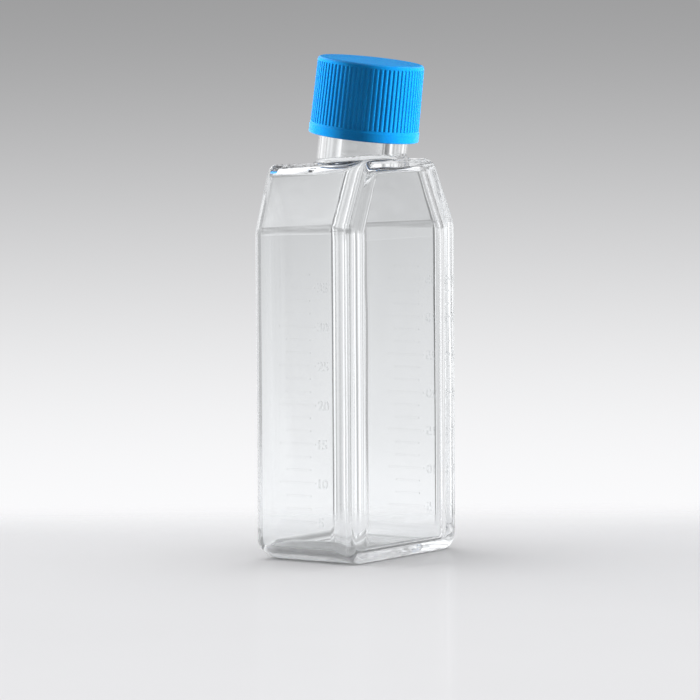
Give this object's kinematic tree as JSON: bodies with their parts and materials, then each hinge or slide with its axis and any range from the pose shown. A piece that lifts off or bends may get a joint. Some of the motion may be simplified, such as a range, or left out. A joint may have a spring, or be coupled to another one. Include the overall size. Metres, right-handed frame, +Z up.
{
  "type": "cell culture flask",
  "caption": "Clear rectangular tissue culture flask with a canted neck, moulded graduations and a blue screw cap with a sealing liner, standing on its end wall.",
  "frame": {"origin": "centre of the end wall that the flask stands on", "axes": "+Z up the flask to the neck, +Y out through the growth surface, -Y out through the roof, X across the width"},
  "size_m": [0.038, 0.0266, 0.1012],
  "materials": {
    "clear_polystyrene": "clear injection-moulded polystyrene, polished",
    "treated_polystyrene": "clear polystyrene, flat, treated inside for cell growth",
    "blue_polyethylene": "blue moulded polyethylene, satin gloss, ribbed side",
    "white_liner": "soft white foamed liner, matt"
  },
  "bodies": {
    "flask": {"flask_shell": "clear_polystyrene", "growth_plate": "treated_polystyrene"},
    "liner": {"cap_liner": "white_liner"},
    "cap": {"screw_cap": "blue_polyethylene"}
  },
  "joints": [
    {"name": "cap_lift", "type": "slide", "parent": "flask", "child": "liner", "axis": [0, -0.1305, 0.9914], "range_m": [0, 0.024]},
    {"name": "cap_turn", "type": "hinge", "parent": "liner", "child": "cap", "pos_m": [0, 0, 0.0685], "axis": [0, -0.1305, 0.9914], "range_deg": [0, 2160]}
  ],
  "couplings": [
    {"joint": "cap_lift", "follows": "cap_turn", "m_per_rad": 0.00063662}
  ]
}
